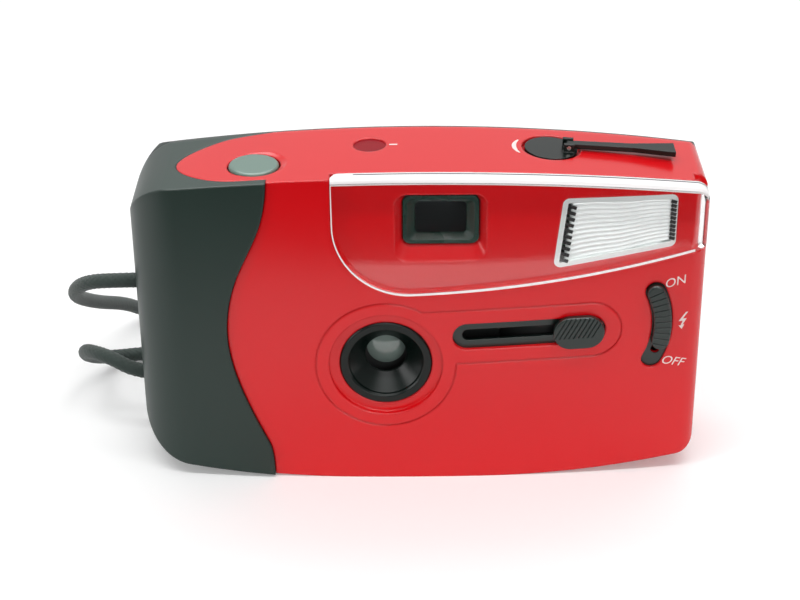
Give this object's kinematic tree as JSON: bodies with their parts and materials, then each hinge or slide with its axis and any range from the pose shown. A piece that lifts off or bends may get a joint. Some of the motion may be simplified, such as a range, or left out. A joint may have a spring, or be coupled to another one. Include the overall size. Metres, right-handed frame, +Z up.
{
  "type": "compact film camera",
  "caption": "Compact 35 mm film camera with a sliding lens cover, built-in flash, hinged back door, film advance wheel, folding rewind crank and wrist strap",
  "frame": {"origin": "under the middle of the body, on the surface it stands on", "axes": "+X to the viewer's right of the front, -Y out of the front, +Z up"},
  "size_m": [0.1409, 0.0823, 0.0734],
  "materials": {
    "red_cover": "glossy red moulded plastic",
    "grip": "satin dark green-black plastic",
    "black_plastic": "fine-grained black plastic",
    "button": "satin grey-green plastic",
    "clear_panel": "clear polished plastic",
    "lens": "coated glass",
    "flash_lens": "ribbed clear plastic",
    "reflector": "bright metal",
    "steel": "bright sheet steel",
    "spring": "spring steel",
    "white_plastic": "white plastic",
    "board": "green circuit board",
    "battery_skin": "plain wrapped cell",
    "cord": "braided cord",
    "lamp": "orange lens"
  },
  "bodies": {
    "camera": {"front_cover": "red_cover", "window_panel": "clear_panel", "grip_cover": "grip", "rear_cover": "grip", "hinge_pin": "steel", "main_chassis": "black_plastic", "lens_bezel": "black_plastic", "lens_barrel": "black_plastic", "front_lens": "lens", "rear_lens": "lens", "shutter_plate": "steel", "viewfinder_bezel": "black_plastic", "viewfinder_tunnel": "black_plastic", "viewfinder_front_lens": "lens", "viewfinder_eye_lens": "lens", "eyepiece_frame": "black_plastic", "counter_window": "clear_panel", "ready_lamp": "lamp", "flash_frame": "black_plastic", "flash_cover": "flash_lens", "flash_reflector": "reflector", "flash_tube": "flash_lens", "circuit_board": "board", "flash_transformer": "black_plastic", "flash_capacitor": "black_plastic", "battery_cell": "battery_skin", "battery_contact_top": "steel", "case_screws": "steel", "gear_plate": "black_plastic", "button_spring": "spring", "slot_plate": "black_plastic", "flash_switch_plate": "black_plastic", "strap_cord": "cord"},
    "lens_cover": {"lens_cover_knob": "black_plastic", "lens_cover_blade": "black_plastic"},
    "flash_switch": {"flash_switch_knob": "black_plastic", "flash_switch_wiper": "steel"},
    "shutter_release": {"shutter_button": "button"},
    "shutter": {"shutter_blade": "steel"},
    "rewind_crank": {"rewind_disc": "grip", "rewind_shaft": "black_plastic", "rewind_lever_pin": "steel"},
    "rewind_arm": {"rewind_lever": "grip"},
    "advance": {"advance_wheel": "black_plastic"},
    "takeup": {"takeup_spool": "black_plastic"},
    "idler": {"idler_gear": "white_plastic"},
    "sprocket": {"sprocket_drum": "black_plastic"},
    "frame_counter": {"counter_dial": "white_plastic"},
    "door": {"back_door": "grip", "film_window": "clear_panel", "latch_tongue": "steel", "pressure_plate": "black_plastic", "pressure_spring": "spring"},
    "latch": {"door_latch": "black_plastic"},
    "battery_lid": {"battery_door": "black_plastic", "battery_contact_bottom": "spring"},
    "rewind_release": {"rewind_button": "black_plastic"}
  },
  "joints": [
    {"name": "lens_cover_slide", "type": "slide", "parent": "camera", "child": "lens_cover", "axis": [-0.9983, -0.0429, -0.0384], "range_m": [0, 0.02]},
    {"name": "flash_switch_turn", "type": "hinge", "parent": "camera", "child": "flash_switch", "pos_m": [0.0334, -0.015, 0.037], "axis": [0, 1, 0], "range_deg": [0, 15]},
    {"name": "shutter_press", "type": "slide", "parent": "camera", "child": "shutter_release", "axis": [0, 0, -1], "range_m": [0, 0.0015], "stiffness_N_per_m": 600, "springref_m": -0.0004, "deforming": ["button_spring"]},
    {"name": "shutter_open", "type": "hinge", "parent": "camera", "child": "shutter", "pos_m": [-0.0122, -0.0043, 0.0318], "axis": [0, 1, 0], "range_deg": [0, 50], "stiffness_Nm_per_rad": 0.0002, "springref_deg": -17.19},
    {"name": "rewind_turn", "type": "hinge", "parent": "camera", "child": "rewind_crank", "pos_m": [0.0284, -0.0009, 0.07178], "axis": [0.0646, 0, 0.9979], "continuous": true},
    {"name": "rewind_arm_fold", "type": "hinge", "parent": "rewind_crank", "child": "rewind_arm", "pos_m": [0.03205, -0.0009, 0.07249], "axis": [0, -1, 0], "range_deg": [0, 90]},
    {"name": "film_advance", "type": "hinge", "parent": "camera", "child": "advance", "pos_m": [-0.0455, 0.00754, 0.0548], "axis": [0, 0, 1], "continuous": true},
    {"name": "takeup_turn", "type": "hinge", "parent": "camera", "child": "takeup", "pos_m": [-0.0444, -0.0032, 0.028], "axis": [0, 0, 1], "continuous": true},
    {"name": "idler_turn", "type": "hinge", "parent": "camera", "child": "idler", "pos_m": [-0.0342, -0.0032, 0.05], "axis": [0, 0, 1], "continuous": true},
    {"name": "sprocket_turn", "type": "hinge", "parent": "camera", "child": "sprocket", "pos_m": [-0.0315, 0.00475, 0.028], "axis": [0, 0, 1], "continuous": true},
    {"name": "counter_turn", "type": "hinge", "parent": "camera", "child": "frame_counter", "pos_m": [-0.0164, 0.0019, 0.069], "axis": [0, 0, 1], "continuous": true},
    {"name": "door_swing", "type": "hinge", "parent": "camera", "child": "door", "pos_m": [-0.057, 0.0103, 0.027], "axis": [0, 0, 1], "range_deg": [0, 90]},
    {"name": "latch_slide", "type": "slide", "parent": "camera", "child": "latch", "axis": [0, 0, -1], "range_m": [0, 0.003], "stiffness_N_per_m": 300, "springref_m": -0.0005},
    {"name": "battery_door_swing", "type": "hinge", "parent": "camera", "child": "battery_lid", "pos_m": [0.04175, 0, 0.00246], "axis": [0, 1, 0], "range_deg": [0, 90]},
    {"name": "rewind_release_press", "type": "slide", "parent": "camera", "child": "rewind_release", "axis": [0, 0, 1], "range_m": [0, 0.0015], "stiffness_N_per_m": 300, "springref_m": -0.0004}
  ],
  "couplings": [
    {"joint": "takeup_turn", "follows": "film_advance", "ratio": -0.8},
    {"joint": "idler_turn", "follows": "film_advance", "ratio": 1.1429},
    {"joint": "sprocket_turn", "follows": "film_advance", "ratio": -1.1429},
    {"joint": "counter_turn", "follows": "film_advance", "ratio": 0.028571}
  ]
}
